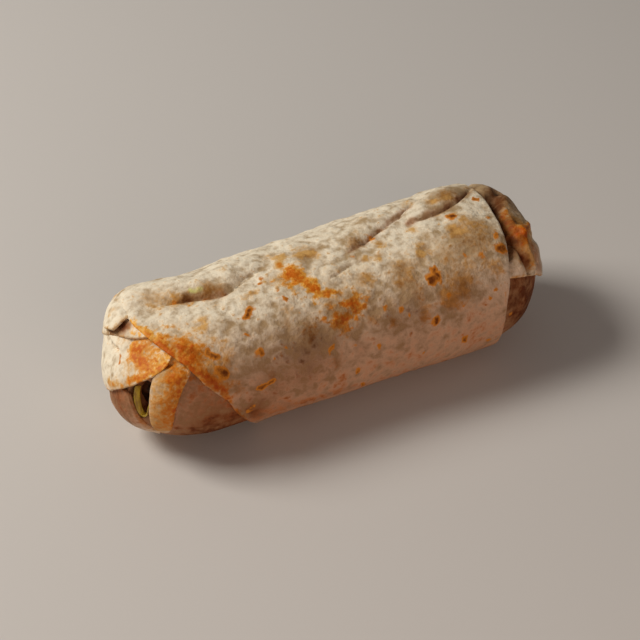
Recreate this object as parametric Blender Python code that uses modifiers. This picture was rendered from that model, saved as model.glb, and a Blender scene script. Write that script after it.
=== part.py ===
"""A burrito: one flour tortilla rolled round its filling, with both of its ends folded in.

The roll lies along X on a flat spot under its middle, with +Z up and its front at -Y. The origin is at
the centre of the base of its box.

Places on the roll are given on its skin. "Along" is the distance along the skin from the middle of the
roll, negative to the left, and the angle round the roll starts at the back (+Y) and goes over the top
(90 degrees) to the front (180) and the underside (270). The skin of a folded end is a flat chart as well:
its first number runs to the back, its second one up, and its middle is the tip of the roll.
"""

import math

import bmesh
import bpy
from mathutils import Vector

MM = 0.001

# The roll, under its outer layer.
HALF_WIDTH = 34.2 * MM
HALF_HEIGHT = 28.3 * MM
SQUARENESS = 2.4             # exponent of the section: 2 is an ellipse
GROWTH = 0.06                # how much fatter than its middle the roll gets at its right tip
TIP = 95.5 * MM              # from the middle to either tip
STRAIGHT = 60 * MM           # from the middle to where the ends start to round off
END_SQUARENESS = 2.3         # exponent of the rounding
END_SKIN = 56 * MM           # length of skin from the start of the rounding to the tip
TIP_ALONG = STRAIGHT + END_SKIN
CENTRE_HEIGHT = 28.6 * MM    # of the axis over the ground, in the middle of the roll
SHIFT = 0.5 * MM             # along X, which puts the origin in the middle of the box

# The tortilla and what it holds.
SHEET = 1.9 * MM             # one layer of tortilla
EDGE = 0.9 * MM              # how far round its edge goes
WALL = 5 * MM                # the layers round the filling
SHALLOW, SUNK, DEEP = 0.5 * MM, 1.5 * MM, 3 * MM   # how deep the folds of the ends lie in the roll
FIT = 0.4 * MM               # gap between the filling and the tortilla

# The outer layer stops short of the ends. Its edges draw back as they come down the front.
OUTER_LEFT, LEFT_RETREAT = -84.5 * MM, 42 * MM
OUTER_RIGHT, RIGHT_RETREAT = 79 * MM, 11.5 * MM

# The seam on top, where the back of the roll laps over the front.
SEAM_ANGLE = 92.5
LAP_HEIGHT = 2.4 * MM        # how far the back stands over the front at the right half
LAP_DEPTH = 3.4 * MM         # how deep the crease in front of it is
VALLEY_DEPTH = 2.2 * MM      # the softer dent along the left half
GROOVE_DEPTH = 2.2 * MM      # the dent beside the right edge of the outer layer
LUMP_HEIGHT = 0.6 * MM

# The mouth in the left end, on the chart, and the ribbon in it.
LEFT, RIGHT = -1, 1
MOUTH_BACK, MOUTH_UP = -19.5 * MM, 5.5 * MM
MOUTH_WIDTH, MOUTH_TALL, MOUTH_LEAN = 13 * MM, 21 * MM, -1.5 * MM
MOUTH_DEPTH = 14 * MM
LEAF_ROUTE = ((-16.6, 10.4), (-19.5, -4.5), (-19.5, -6), (-23, 11.2))
LEAF_WIDTH, LEAF_SHEET, LEAF_HEIGHT = 3 * MM, 0.8 * MM, -2.4 * MM

# Mesh density.
AROUND = 60
END_RINGS = 7
STEP_RINGS = 2
OUTER_RINGS = 21
CORE_AROUND, CORE_RINGS = 28, 14

TORTILLA_COLOR = (0.60, 0.50, 0.37, 1.0)
FILLING_COLOR = (0.20, 0.09, 0.03, 1.0)
LEAF_COLOR = (0.42, 0.40, 0.05, 1.0)


def clear_scene():
    for obj in list(bpy.data.objects):
        bpy.data.objects.remove(obj)


def new_collection(name):
    collection = bpy.data.collections.new(name)
    bpy.context.scene.collection.children.link(collection)
    return collection


def new_material(name, color, roughness):
    material = bpy.data.materials.new(name)
    material.use_nodes = True
    shader = material.node_tree.nodes["Principled BSDF"]
    shader.inputs["Base Color"].default_value = color
    shader.inputs["Roughness"].default_value = roughness
    shader.inputs["Metallic"].default_value = 0.0
    return material


def mix(start, end, share):
    return start + (end - start) * share


def ease(share):
    """0 up to 0, 1 from 1 on, and a smooth rise between them."""
    share = min(max(share, 0.0), 1.0)
    return share * share * (3 - 2 * share)


def swing(angle, start, end):
    """0 up to the start angle, 1 from the end angle on, and half a wave between them."""
    share = min(max((angle - start) / (end - start), 0.0), 1.0)
    return (1 - math.cos(math.pi * share)) / 2


def bell(value, width):
    return math.exp(-(value / width) ** 2)


def rounded(value, exponent):
    return math.copysign(abs(value) ** (2 / exponent), value)


def bezier(points, share):
    """The point of a cubic Bezier curve of four control points at a share of its length."""
    rest = 1 - share
    weights = (rest ** 3, 3 * rest ** 2 * share, 3 * rest * share ** 2, share ** 3)
    return [sum(weight * place for weight, place in zip(weights, axis)) for axis in zip(*points)]


def skin_point(along, angle):
    """The point of the plain roll at a distance along its skin and an angle in degrees."""
    turn = math.radians(angle)
    rounding = min(max((abs(along) - STRAIGHT) / END_SKIN, 0.0), 1.0) * math.pi / 2
    if abs(along) < STRAIGHT:
        x = along
    else:
        reach = STRAIGHT + (TIP - STRAIGHT) * rounded(math.sin(rounding), END_SQUARENESS)
        x = math.copysign(reach, along)
    size = 1 + GROWTH * x / TIP
    section = size * rounded(math.cos(rounding), END_SQUARENESS)
    y = HALF_WIDTH * section * rounded(math.cos(turn), SQUARENESS)
    z = CENTRE_HEIGHT + HALF_HEIGHT * (size - 1 + section * rounded(math.sin(turn), SQUARENESS))
    return Vector((x + SHIFT, y, z))


def skin_normal(along, angle):
    """The outward direction of the plain roll, which is straight along X at a tip."""
    step = 0.5 * MM
    along = math.copysign(min(abs(along), TIP_ALONG - 2 * step), along)
    lengthwise = skin_point(along + step, angle) - skin_point(along - step, angle)
    roundwise = skin_point(along, angle + 0.5) - skin_point(along, angle - 0.5)
    return roundwise.cross(lengthwise).normalized()


def shoulder(along, angle):
    """How much boxier the upper back corners and the left end's underside are than a plain roll's."""
    turn = (angle + 90) % 360 - 90
    upper_left = 4.8 * bell(turn - 50, 38) * bell(along / MM + 78, 13)
    upper_right = 2.6 * bell(turn - 62, 36) * bell(along / MM - 90, 14)
    lower_left = 1.8 * bell(turn - 250, 70) * bell(along / MM + 100, 14)
    return (upper_left + upper_right + lower_left) * MM


def lifted(along, angle, height):
    """A point at a height over the skin, never below the ground that the roll rests on."""
    height += shoulder(along, angle)
    point = skin_point(along, angle) + skin_normal(along, angle) * height
    point.z = max(point.z, 0.0)
    return point


def end_point(side, back, up, height):
    """A point over the chart of an end: side is -1 for the left end and 1 for the right one."""
    along = side * (TIP_ALONG - math.hypot(back, up))
    return lifted(along, math.degrees(math.atan2(up, back)), height)


def outer_left(angle):
    """How far along the skin the left edge of the outer layer is."""
    retreat = swing(angle, 86, 254) - swing(angle, 275, 425)
    if angle < 65:
        retreat = 1 - swing(angle + 360, 275, 425)
    return OUTER_LEFT + LEFT_RETREAT * retreat


def outer_right(angle):
    return OUTER_RIGHT - RIGHT_RETREAT * (swing(angle, 70, 190) - swing(angle, 280, 350))


def seam_angle(along):
    """The seam runs along the top and drops to the back of the roll at both ends."""
    left_drop = 12.5 * ease((-along / MM - 50) / 26)
    right_drop = 3.5 * ease(along / MM / 30) + 18 * ease((along / MM - 60) / 20)
    return SEAM_ANGLE - left_drop - right_drop


def seam_height(along, across):
    """The shape of the seam in height over the skin. across is the distance from it, + to the front."""
    place = along / MM
    across = across / MM
    lapped = ease((place - 2) / 34) * (1 - ease((place - 74) / 16))
    dented = ease((place + 84) / 14) * (1 - ease((place + 52) / 34))
    if across < 0:
        back = LAP_HEIGHT * lapped * (1 - bell(across, 2.2)) * bell(across + 4, 9)
        crease = LAP_DEPTH * lapped * bell(across, 1.3) + VALLEY_DEPTH * dented * bell(across, 4)
    else:
        back = 0.0
        crease = LAP_DEPTH * lapped * math.exp(-across / 3.2) + VALLEY_DEPTH * dented * bell(across, 9)
    return back + 0.5 * VALLEY_DEPTH * dented * bell(across + 9, 5) - crease


def lumps(along, angle):
    """The filling pushes the tortilla out here and there."""
    turn = math.radians(angle)
    long_waves = math.sin(along / (17 * MM) + 2 * turn) * math.sin(turn - 0.6)
    short_waves = math.sin(along / (8.5 * MM) - 3 * turn + 1.1)
    return LUMP_HEIGHT * (long_waves + 0.35 * short_waves)


def roll_height(along, angle):
    """How far the dents and lumps of the roll stand over its plain skin, without the outer layer."""
    across = math.radians(angle - seam_angle(along)) * HALF_HEIGHT * 1.15
    front = bell((angle % 360) - 122, 34)
    groove = GROOVE_DEPTH * front * bell(along - outer_right(angle % 360) - 5 * MM, 4.5 * MM)
    body = 1 - ease((abs(along) / MM - 66) / 20)
    return seam_height(along, across) - groove + lumps(along, angle) * body


def column_angle(share, along):
    """Columns crowd towards the top and bend with the seam, so that one of them lies in it."""
    angle = SEAM_ANGLE + 360 * share - 14 * math.sin(2 * math.pi * share)
    nearness = (1 + math.cos(2 * math.pi * share)) / 2
    return angle + (seam_angle(along) - SEAM_ANGLE) * nearness ** 2


def row_place(row, angle):
    """Where a row crosses an angle, as its distance along the skin and the height of the layer there."""
    left, right = outer_left(angle % 360), outer_right(angle % 360)
    if row <= END_RINGS:
        return mix(-TIP_ALONG, left, row / END_RINGS), 0.0
    row -= END_RINGS
    if row <= STEP_RINGS:
        share = row / STEP_RINGS
        return left + EDGE * share, SHEET * math.sin(share * math.pi / 2)
    row -= STEP_RINGS
    if row <= OUTER_RINGS:
        return mix(left + EDGE, right - EDGE, row / OUTER_RINGS), SHEET
    row -= OUTER_RINGS
    if row <= STEP_RINGS:
        share = 1 - row / STEP_RINGS
        return right - EDGE * share, SHEET * math.sin(share * math.pi / 2)
    row -= STEP_RINGS
    return mix(right, TIP_ALONG, row / END_RINGS), 0.0


def sphere_places(mesh, around, rings):
    """Each vertex of a unit sphere along Z, with its ring and its share of a turn."""
    places = []
    for vert in mesh.verts:
        latitude = math.asin(max(-1.0, min(1.0, vert.co.z)))
        turn = math.atan2(vert.co.y, vert.co.x) / (2 * math.pi)
        ring = round((latitude / math.pi + 0.5) * rings)
        places.append((vert, ring, round(turn * around) % around / around))
    return places


def new_object(name, mesh, collection, material=None):
    """An object of a mesh, which is split into triangles, because moving its corners bent its faces."""
    bmesh.ops.triangulate(mesh, faces=mesh.faces[:])
    data = bpy.data.meshes.new(name)
    mesh.to_mesh(data)
    mesh.free()
    data.shade_smooth()
    obj = bpy.data.objects.new(name, data)
    collection.objects.link(obj)
    if material:
        data.materials.append(material)
    return obj


def make_roll(collection, material):
    """The rolled tortilla, solid for now: a sphere whose rings follow the edges of the outer layer."""
    rings = 2 * END_RINGS + 2 * STEP_RINGS + OUTER_RINGS
    mesh = bmesh.new()
    bmesh.ops.create_uvsphere(mesh, u_segments=AROUND, v_segments=rings, radius=1.0)
    for vert, ring, share in sphere_places(mesh, AROUND, rings):
        angle = column_angle(share, 0.0)
        for _ in range(3):
            along, layer = row_place(ring, angle)
            angle = column_angle(share, along)
        vert.co = lifted(along, angle, layer + roll_height(along, angle))
    bmesh.ops.recalc_face_normals(mesh, faces=mesh.faces)
    return new_object("tortilla", mesh, collection, material)


def make_core(name, depth, collection, material=None):
    """A body that follows the skin at a depth below it, with its rings closer together at the tips."""
    mesh = bmesh.new()
    bmesh.ops.create_uvsphere(mesh, u_segments=CORE_AROUND, v_segments=CORE_RINGS, radius=1.0)
    for vert, ring, share in sphere_places(mesh, CORE_AROUND, CORE_RINGS):
        along = TIP_ALONG * (2 * ring / CORE_RINGS - 1)
        along = along * (1.25 - 0.25 * abs(along) / TIP_ALONG)
        point = skin_point(along, 360 * share) - skin_normal(along, 360 * share) * depth
        point.z = max(point.z, depth)
        vert.co = point
    bmesh.ops.recalc_face_normals(mesh, faces=mesh.faces)
    return new_object(name, mesh, collection, material)


def make_flap(name, side, tucked, free, height, sink, columns, rows, collection):
    """A fold of the tortilla laid over an end, from its tucked edge to its free one.

    The edges are Bezier curves on the chart of the end, in millimetres. height gives how far the fold's
    outer face stands over the skin, at a share of the way along its edges and one from tucked to free.
    sink is how deep its inner face lies in the roll, which it is joined to.
    """
    mesh = bmesh.new()
    bmesh.ops.create_grid(mesh, x_segments=columns, y_segments=rows, size=0.5)
    walls = bmesh.ops.extrude_face_region(mesh, geom=mesh.faces[:])
    for vert in walls["geom"]:
        if isinstance(vert, bmesh.types.BMVert):
            vert.co.z = -1.0
    for vert in mesh.verts:
        across, down = vert.co.x + 0.5, vert.co.y + 0.5
        start, end = bezier(tucked, across), bezier(free, across)
        back, up = mix(start[0], end[0], down) * MM, mix(start[1], end[1], down) * MM
        over_skin = -sink if vert.co.z < 0 else height(across, down) * MM
        vert.co = end_point(side, back, up, over_skin)
    bmesh.ops.recalc_face_normals(mesh, faces=mesh.faces)
    return new_object(name, mesh, collection)


def combine(target, other, operation):
    boolean = target.modifiers.new(other.name, "BOOLEAN")
    boolean.operation = operation
    boolean.object = other
    boolean.solver = "EXACT"
    other.hide_render = True
    other.display_type = "WIRE"


def make_mouth(collection):
    """The hole in the left end, which shows what the tortilla is filled with."""
    mesh = bmesh.new()
    bmesh.ops.create_uvsphere(mesh, u_segments=14, v_segments=10, radius=1.0)
    for vert in mesh.verts:
        back = MOUTH_BACK + MOUTH_WIDTH / 2 * vert.co.x + MOUTH_LEAN * vert.co.y
        up = MOUTH_UP + MOUTH_TALL / 2 * vert.co.y
        vert.co = end_point(LEFT, back, up, MOUTH_DEPTH * vert.co.z)
    bmesh.ops.recalc_face_normals(mesh, faces=mesh.faces)
    return new_object("mouth", mesh, collection)


def make_flaps(collection):
    """The folds of the two ends, each laid on the ones before it and all tucked under the outer layer."""
    def lip(across, down):
        return 0.4 + 1.3 * ease(down * 1.6) * ease(across * 4)

    def pleat(down, across):
        """This one runs down the corner of the end, and is rounded across."""
        rise = ease((down - mix(0.06, 0.2, across)) * 5) * (1 - 0.8 * ease((down - 0.75) * 4))
        return 0.4 + 3.6 * rise * math.sin(math.pi * mix(0.12, 0.88, across)) ** 0.6

    def envelope(across, down):
        wave = 0.4 * math.sin(5 * across + 4 * down)
        return 0.5 + 1.8 * ease(down * 3) + 1.0 * ease((down - 0.6) * 2) + wave

    def under_curl(across, down):
        return 0.8 + 1.9 * ease(down * 2) * ease((1 - across) * 5)

    def curl(across, down):
        return 0.8 + 2.6 * math.sin(math.pi * mix(0.03, 0.92, across)) ** 0.7 * ease(down * 2.2)

    def right_fold(across, down):
        crest = 0.35 + 0.65 * max(0.0, (across - 0.75) / 0.25) ** 1.5
        ridge = bell(down - crest, 0.17) * (2.6 + 1.2 * bell(across - 0.4, 0.3))
        groove = bell(down - 0.42 * ease(across * 2 - 1), 0.14)
        return 0.7 + 1.5 * ease(down * 4) + ridge - 3.6 * groove

    return [
        make_flap("lip", LEFT, ((36, -26), (14, -44), (-12, -40), (-25, -18)),
                  ((30, -3), (10, 3), (-5, 6), (-13, 7)), lip, SUNK, 9, 6, collection),
        make_flap("pleat", LEFT, ((-21, 34), (-23, 20), (-27, 4), (-22, -16)),
                  ((-37, 37), (-38, 20), (-40, 6), (-32, -16)), pleat, SUNK, 9, 7, collection),
        make_flap("envelope", LEFT, ((32, 12), (16, 38), (-12, 41), (-31, 34)),
                  ((24, -20), (8, -9), (-12, 4), (-27, 26)), envelope, SHALLOW, 12, 8, collection),
        make_flap("under curl", LEFT, ((36, 14), (18, 40), (-4, 41), (-14, 38)),
                  ((24, 6), (12, 17), (0, 28), (-12, 34)), under_curl, SUNK, 9, 3, collection),
        make_flap("curl", LEFT, ((43, 4), (38, 30), (22, 38), (8, 35)),
                  ((29, 2), (19, 12), (10, 18), (6, 29)), curl, SUNK, 10, 7, collection),
        make_flap("right fold", RIGHT, ((24, 34), (6, 42), (-30, 46), (-44, 24)),
                  ((24, -4), (14, -10), (-8, -8), (-22, 1)), right_fold, DEEP, 13, 9, collection),
    ]


def make_leaf(collection, material):
    """A limp ribbon of pepper in the mouth, folded into a V."""
    mesh = bmesh.new()
    bmesh.ops.create_grid(mesh, x_segments=12, y_segments=2, size=0.5)
    for vert in mesh.verts:
        share, side = vert.co.x + 0.5, vert.co.y
        back, up = bezier(LEAF_ROUTE, share)
        vert.co = end_point(LEFT, (back + 1.2 * side) * MM, up * MM, LEAF_HEIGHT + LEAF_WIDTH * side)
    leaf = new_object("leaf", mesh, collection, material)
    thicken = leaf.modifiers.new("Thickness", "SOLIDIFY")
    thicken.thickness = LEAF_SHEET
    thicken.offset = 0
    return leaf


def main():
    clear_scene()
    burrito = new_collection("Burrito")
    cutters = new_collection("Cutters")
    tortilla = make_roll(burrito, new_material("Tortilla", TORTILLA_COLOR, 0.75))
    cavity = make_core("cavity", WALL, cutters)
    combine(cavity, make_mouth(cutters), "UNION")
    combine(tortilla, cavity, "DIFFERENCE")
    for flap in make_flaps(cutters):
        combine(tortilla, flap, "UNION")
    make_core("filling", WALL + FIT, burrito, new_material("Filling", FILLING_COLOR, 0.5))
    make_leaf(burrito, new_material("Leaf", LEAF_COLOR, 0.35))


main()
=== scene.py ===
"""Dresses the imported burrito: a griddled flour tortilla with its folds, its filling and its strip of pepper.

Places on the roll are given on its skin. "Along" is the distance along the skin from the middle of the
roll, negative to the left, and the angle round the roll starts at the back (+Y) and goes over the top
(90 degrees) to the front (180) and the underside (270). The skin of a folded end is a flat chart as well:
its first number runs to the back, its second one up, and its middle is the tip of the roll.
"""

import math

import bmesh
import bpy
import numpy as np
from bpy.props import FloatProperty, FloatVectorProperty, PointerProperty
from bpy.types import Operator, Panel, PropertyGroup
from mathutils import Matrix, Vector, noise


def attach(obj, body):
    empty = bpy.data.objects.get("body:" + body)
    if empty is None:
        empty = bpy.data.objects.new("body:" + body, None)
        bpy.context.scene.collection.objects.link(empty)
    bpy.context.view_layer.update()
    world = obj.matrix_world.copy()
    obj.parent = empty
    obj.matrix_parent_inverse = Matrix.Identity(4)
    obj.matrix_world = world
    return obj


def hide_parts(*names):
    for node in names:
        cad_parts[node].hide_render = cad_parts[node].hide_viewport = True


bl_info = {
    "name": "Burrito looks",
    "version": (1, 0, 0),
    "blender": (4, 5, 0),
    "location": "3D View > Sidebar > Burrito",
    "description": "Builds the visible pieces and finishes of a burrito around its packed solids",
    "category": "Add Mesh",
}

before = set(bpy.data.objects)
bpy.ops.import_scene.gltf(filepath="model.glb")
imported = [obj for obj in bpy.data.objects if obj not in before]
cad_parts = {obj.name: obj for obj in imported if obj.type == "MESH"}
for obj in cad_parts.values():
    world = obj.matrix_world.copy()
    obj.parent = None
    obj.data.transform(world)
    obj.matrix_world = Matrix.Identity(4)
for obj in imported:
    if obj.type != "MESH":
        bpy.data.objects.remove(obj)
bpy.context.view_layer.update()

MM = 0.001
LEFT, RIGHT = -1, 1

# The roll, under its outer layer.
HALF_WIDTH, HALF_HEIGHT, SQUARENESS = 34.2 * MM, 28.3 * MM, 2.4
GROWTH = 0.06
TIP, STRAIGHT = 95.5 * MM, 60 * MM
END_SQUARENESS, END_SKIN = 2.3, 56 * MM
TIP_ALONG = STRAIGHT + END_SKIN
CENTRE_HEIGHT, SHIFT = 28.6 * MM, 0.5 * MM

# The outer layer, whose edges draw back as they come down the front.
OUTER_LEFT, LEFT_RETREAT = -82.2 * MM, 40 * MM
OUTER_RIGHT, RIGHT_RETREAT = 77 * MM, 11.5 * MM
SEAM_ANGLE = 92.5

# How far the roll's visible ends go on under the outer layer, the gap between the two, and how much lower
# the roll is where a layer covers it.
OVERLAP, LAYER_GAP, COVERED_DROP = 7 * MM, 0.35 * MM, 4 * MM

# How deep the filling lies under the skin of the roll.
WALL = 5.4 * MM

# The mouth in the left end, on the chart, and the ribbon in it: the control points of its route, in mm,
# the width and thickness of its strip, and how far its middle lies over the skin.
MOUTH_BACK, MOUTH_UP = -19.5 * MM, 5.5 * MM
MOUTH_WIDTH, MOUTH_TALL, MOUTH_LEAN = 13 * MM, 21 * MM, -1.5 * MM
LEAF_ROUTE = ((-16.5, 11), (-17, -8), (-25, -10), (-26.5, 12))
LEAF_THICKNESS, LEAF_HEIGHT = 0.8 * MM, -0.8 * MM

# How far the outlines of marks are frayed, the size of the frays, and how far a charred spot stands out.
FRAY_REACH, FRAY_SIZE, CHAR_BLISTER = 1.3 * MM, 4.5 * MM, 0.25 * MM

# Mesh density, how far the outer layer's columns crowd to the seam in degrees, and how much a fold's rows
# crowd to its free edge.
OUTER_COLUMNS, FACE_ROWS, EDGE_ROWS, BACK_ROWS = 290, 252, 6, 16
INNER_COLUMNS, END_RINGS, HIDDEN_RINGS = 260, 90, 8
FILLING_COLUMNS, FILLING_RINGS = 152, 110
SEAM_CROWDING, FREE_CROWDING = 24, 1.25

# Creases across the top: a path of places (along in mm, angle) from left to right, how deep it is, how
# far the tortilla behind it stands over the one before it, and how far the curves behind and before it
# reach, in mm.
CREASES = (
    (((38, 86.5), (45, 87.4), (50, 87.6), (56, 87), (62, 85), (67, 81), (73, 73), (79, 63)),
     2.2, 2.0, 6.0, 1.5),
    (((4, 92.5), (9, 92), (15, 90.5), (20, 89), (25, 86.5), (30, 84), (35, 81.5), (41, 79), (46, 73),
      (52, 69), (57, 66)), 1.7, 1.6, 5.5, 1.3),
    (((-9, 108.5), (-4, 107.6), (0, 106), (4, 103), (7, 101.2), (12, 101.5), (19, 102)), 0.8, 0.6, 3.5, 1.0),
    (((-77, 83), (-70, 85), (-64, 86.5), (-58, 88), (-52, 90), (-46, 91.5), (-40, 90), (-34, 87), (-28, 85),
      (-20, 83)), 2.6, 2.2, 8.5, 2.4),
)

# Where the filling pushes the outer layer out (above 0) and where it sinks in: a place (along in mm,
# angle), a radius and a height in mm.
MOUNDS = (
    (46, 98, 5.5, 0.9), (61, 100, 6.0, 0.7), (53, 112, 6.0, 0.7), (53, 93, 3.0, -0.7), (55, 103, 3.5, -0.8),
    (32, 106, 6.5, 0.8), (22, 101, 5.0, 0.6), (41, 110, 4.0, -0.7), (27, 122, 7.0, 0.5), (63, 120, 6.0, 0.5),
    (12, 112, 6.0, 0.5), (2, 114, 4.0, -0.5), (-14, 92, 6.0, 0.6), (-30, 104, 9.0, 0.7), (-55, 106, 9.0, 0.6),
    (-44, 96, 7.0, 0.4), (8, 82, 6.0, 0.6), (24, 74, 7.0, 0.6), (62, 66, 6.0, 0.8), (70, 96, 5.0, -0.5),
)

# Where the roll is boxier than its plain skin, at the upper back corners and under the left end: a place
# (along in mm, angle), how far it reaches both ways and a height in mm.
SHOULDERS = ((-78, 50, 13, 38, 4.8), (90, 62, 14, 36, 2.6), (-100, 250, 14, 70, 1.8))

# The light, and how far left of the burrito's middle and below it the camera aims.
LIGHT_SIZE = 0.6
KEY_PLACE, KEY_COLOR = (-0.88, 0.58, 1.04), (1.0, 0.95, 0.88)
FILL_PLACE, FILL_COLOR = (-0.12, -0.8, 0.33), (1.0, 0.74, 0.6)
AMBIENT_COLOR = (1.0, 0.97, 0.94, 1.0)
AIM_LEFT, AIM_DOWN = 1.5 * MM, 4.3 * MM

# Furrows (below 0) and ridges in the folds: a path on the chart of the end, a height and a width in mm.
ENVELOPE_FURROWS = (
    (((4, 18.5), (2.5, 18), (1, 19.5)), -1.2, 0.7),
    (((9, 20.5), (4, 20), (-1, 22)), 0.7, 1.2),
)
RIGHT_FURROWS = (
    (((6, 32), (-1, 38), (-9, 38.5), (-16, 38.5), (-21, 37), (-27, 35), (-32, 33)), -4.8, 2.4),
    (((-19, 34), (-23, 31), (-26.5, 28), (-30, 25), (-32.5, 20), (-33.5, 16)), -2.4, 1.5),
    (((-14, 30), (-20, 27), (-24, 25), (-27, 21.5), (-30, 16)), 1.3, 1.7),
    (((2, 33), (-5, 33.5), (-12, 33), (-17, 30)), 1.0, 1.8),
    (((-6, 20), (-13, 26), (-18, 29)), 1.0, 1.6),
    (((-4, 27), (-10, 29.5)), -0.6, 2.4),
    (((-3, 9), (-9, 14), (-14, 19), (-18, 22)), -1.0, 2.4),
    (((11, 25), (6, 30), (-1, 37)), -2.4, 2.2),
    (((-24, 12), (-28, 12.5), (-30, 10)), -0.8, 1.5),
)


def mix(start, end, share):
    return start + (end - start) * share


def ease(share):
    """0 up to 0, 1 from 1 on, and a smooth rise between them."""
    share = np.clip(share, 0.0, 1.0)
    return share * share * (3 - 2 * share)


def swing(angle, start, end):
    """0 up to the start angle, 1 from the end angle on, and half a wave between them."""
    return (1 - np.cos(np.pi * np.clip((angle - start) / (end - start), 0.0, 1.0))) / 2


def bell(value, width):
    return np.exp(-((value / width) ** 2))


def rounded(value, exponent):
    """A sine or cosine made squarer, which turns an ellipse into a rounded box."""
    return np.sign(value) * np.abs(value) ** (2 / exponent)


def bezier(points, share):
    """The points of a cubic Bezier curve of four control points at shares of its length."""
    rest = 1 - share
    weights = (rest**3, 3 * rest**2 * share, 3 * rest * share**2, share**3)
    return sum(weight[:, None] * np.array(point, float) for weight, point in zip(weights, points))


def soften(path):
    """A path with its corners cut twice."""
    for _ in range(2):
        start, end = path[:-1], path[1:]
        cut = np.stack((mix(start, end, 0.25), mix(start, end, 0.75)), axis=1).reshape(-1, path.shape[1])
        path = np.concatenate((path[:1], cut, path[-1:]))
    return path


def skin_point(along, angle):
    """The points of the plain roll at distances along its skin and angles in degrees."""
    along, angle = np.broadcast_arrays(along, angle)
    turn = np.radians(angle)
    rounding = np.clip((np.abs(along) - STRAIGHT) / END_SKIN, 0.0, 1.0) * np.pi / 2
    reach = STRAIGHT + (TIP - STRAIGHT) * rounded(np.sin(rounding), END_SQUARENESS)
    x = np.where(np.abs(along) < STRAIGHT, along, np.copysign(reach, along))
    size = 1 + GROWTH * x / TIP
    section = size * rounded(np.cos(rounding), END_SQUARENESS)
    y = HALF_WIDTH * section * rounded(np.cos(turn), SQUARENESS)
    z = CENTRE_HEIGHT + HALF_HEIGHT * (size - 1 + section * rounded(np.sin(turn), SQUARENESS))
    return np.stack((x + SHIFT, y, z), axis=-1)


def skin_normal(along, angle):
    """The outward directions of the plain roll, which are straight along X at a tip."""
    step = 0.5 * MM
    along = np.copysign(np.minimum(np.abs(along), TIP_ALONG - 2 * step), along)
    lengthwise = skin_point(along + step, angle) - skin_point(along - step, angle)
    roundwise = skin_point(along, angle + 0.5) - skin_point(along, angle - 0.5)
    normal = np.cross(roundwise, lengthwise)
    return normal / np.linalg.norm(normal, axis=-1, keepdims=True)


def shoulder(along, angle):
    """How far the boxier places stand over the plain skin."""
    turn = (angle + 90) % 360 - 90
    return MM * sum(
        height * bell(turn - middle, width) * bell(along / MM - place, length)
        for place, middle, length, width, height in SHOULDERS
    )


def outer_left(angle):
    """How far along the skin the left edge of the outer layer is."""
    turn = angle % 360
    retreat = swing(turn, 86, 254) - swing(turn, 275, 405)
    retreat = np.where(turn < 65, 1 - swing(turn + 360, 275, 405), retreat)
    bend = 2.4 * bell(turn - 135, 30) - 0.9 * bell(turn - 86, 9)
    return OUTER_LEFT + LEFT_RETREAT * retreat + bend * MM


def outer_right(angle):
    """How far along the skin the right edge of the outer layer is."""
    turn = angle % 360
    return OUTER_RIGHT - RIGHT_RETREAT * (swing(turn, 70, 190) - swing(turn, 280, 350))


def seam_angle(along):
    """The seam runs along the top and drops to the back of the roll at both ends."""
    left_drop = 12.5 * ease((-along / MM - 50) / 26)
    right_drop = 3.5 * ease(along / MM / 30) + 18 * ease((along / MM - 60) / 20)
    return SEAM_ANGLE - left_drop - right_drop


def valley(along, angle):
    """The soft dent before the back of the roll along its left half."""
    from_seam = (angle - seam_angle(along) + 180) % 360 - 180
    across = np.radians(from_seam) * HALF_HEIGHT * 1.15 / MM
    place = along / MM
    dented = ease((place + 84) / 14) * (1 - ease((place + 52) / 34))
    dent = np.where(across < 0, bell(across, 4), bell(across, 9))
    return 1.0 * MM * dented * (0.5 * np.where(across < 0, bell(across + 9, 5), 0) - dent)


def lumps(along, angle):
    """The filling pushes the tortilla out here and there."""
    turn = np.radians(angle)
    long_waves = np.sin(along / (17 * MM) + 2 * turn) * np.sin(turn - 0.6)
    short_waves = np.sin(along / (8.5 * MM) - 3 * turn + 1.1)
    return 0.6 * MM * (long_waves + 0.35 * short_waves)


def roll_height(along, angle):
    """How far the dents and lumps of the roll stand over its plain skin, without the outer layer."""
    front = bell((angle % 360) - 122, 34)
    groove = 2.2 * MM * front * bell(along - outer_right(angle) - 5 * MM, 4.5 * MM)
    body = 1 - ease((np.abs(along) / MM - 66) / 20)
    return valley(along, angle) - groove + lumps(along, angle) * body


def field(points, size, octaves=3, seed=0.0, stretch=(1, 1, 1)):
    """Smooth noise at each point, from about -1 to 1, with features of a size in metres."""
    places = points / (size * np.array(stretch)) + 100 + seed
    return np.array([noise.fractal(place, 0.9, 2.0, octaves) for place in places.tolist()])


def relief(points, angle, seed):
    """The puckers that griddling leaves in a tortilla, flatter on the side that it lies on."""
    strength = 0.45 + 0.55 * (1 - swing(angle % 360, 150, 215) + swing(angle % 360, 300, 360))
    soft = 0.5 * field(points, 9 * MM, 2, seed)
    puckers = 0.24 * field(points, 4 * MM, 2, seed + 5, (1.4, 1, 1))
    ripples = 0.3 * field(points, 6 * MM, 2, seed + 9, (4, 1, 1)) * bell(angle % 360 - 90, 40)
    return (soft + puckers + ripples) * strength * MM


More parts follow.
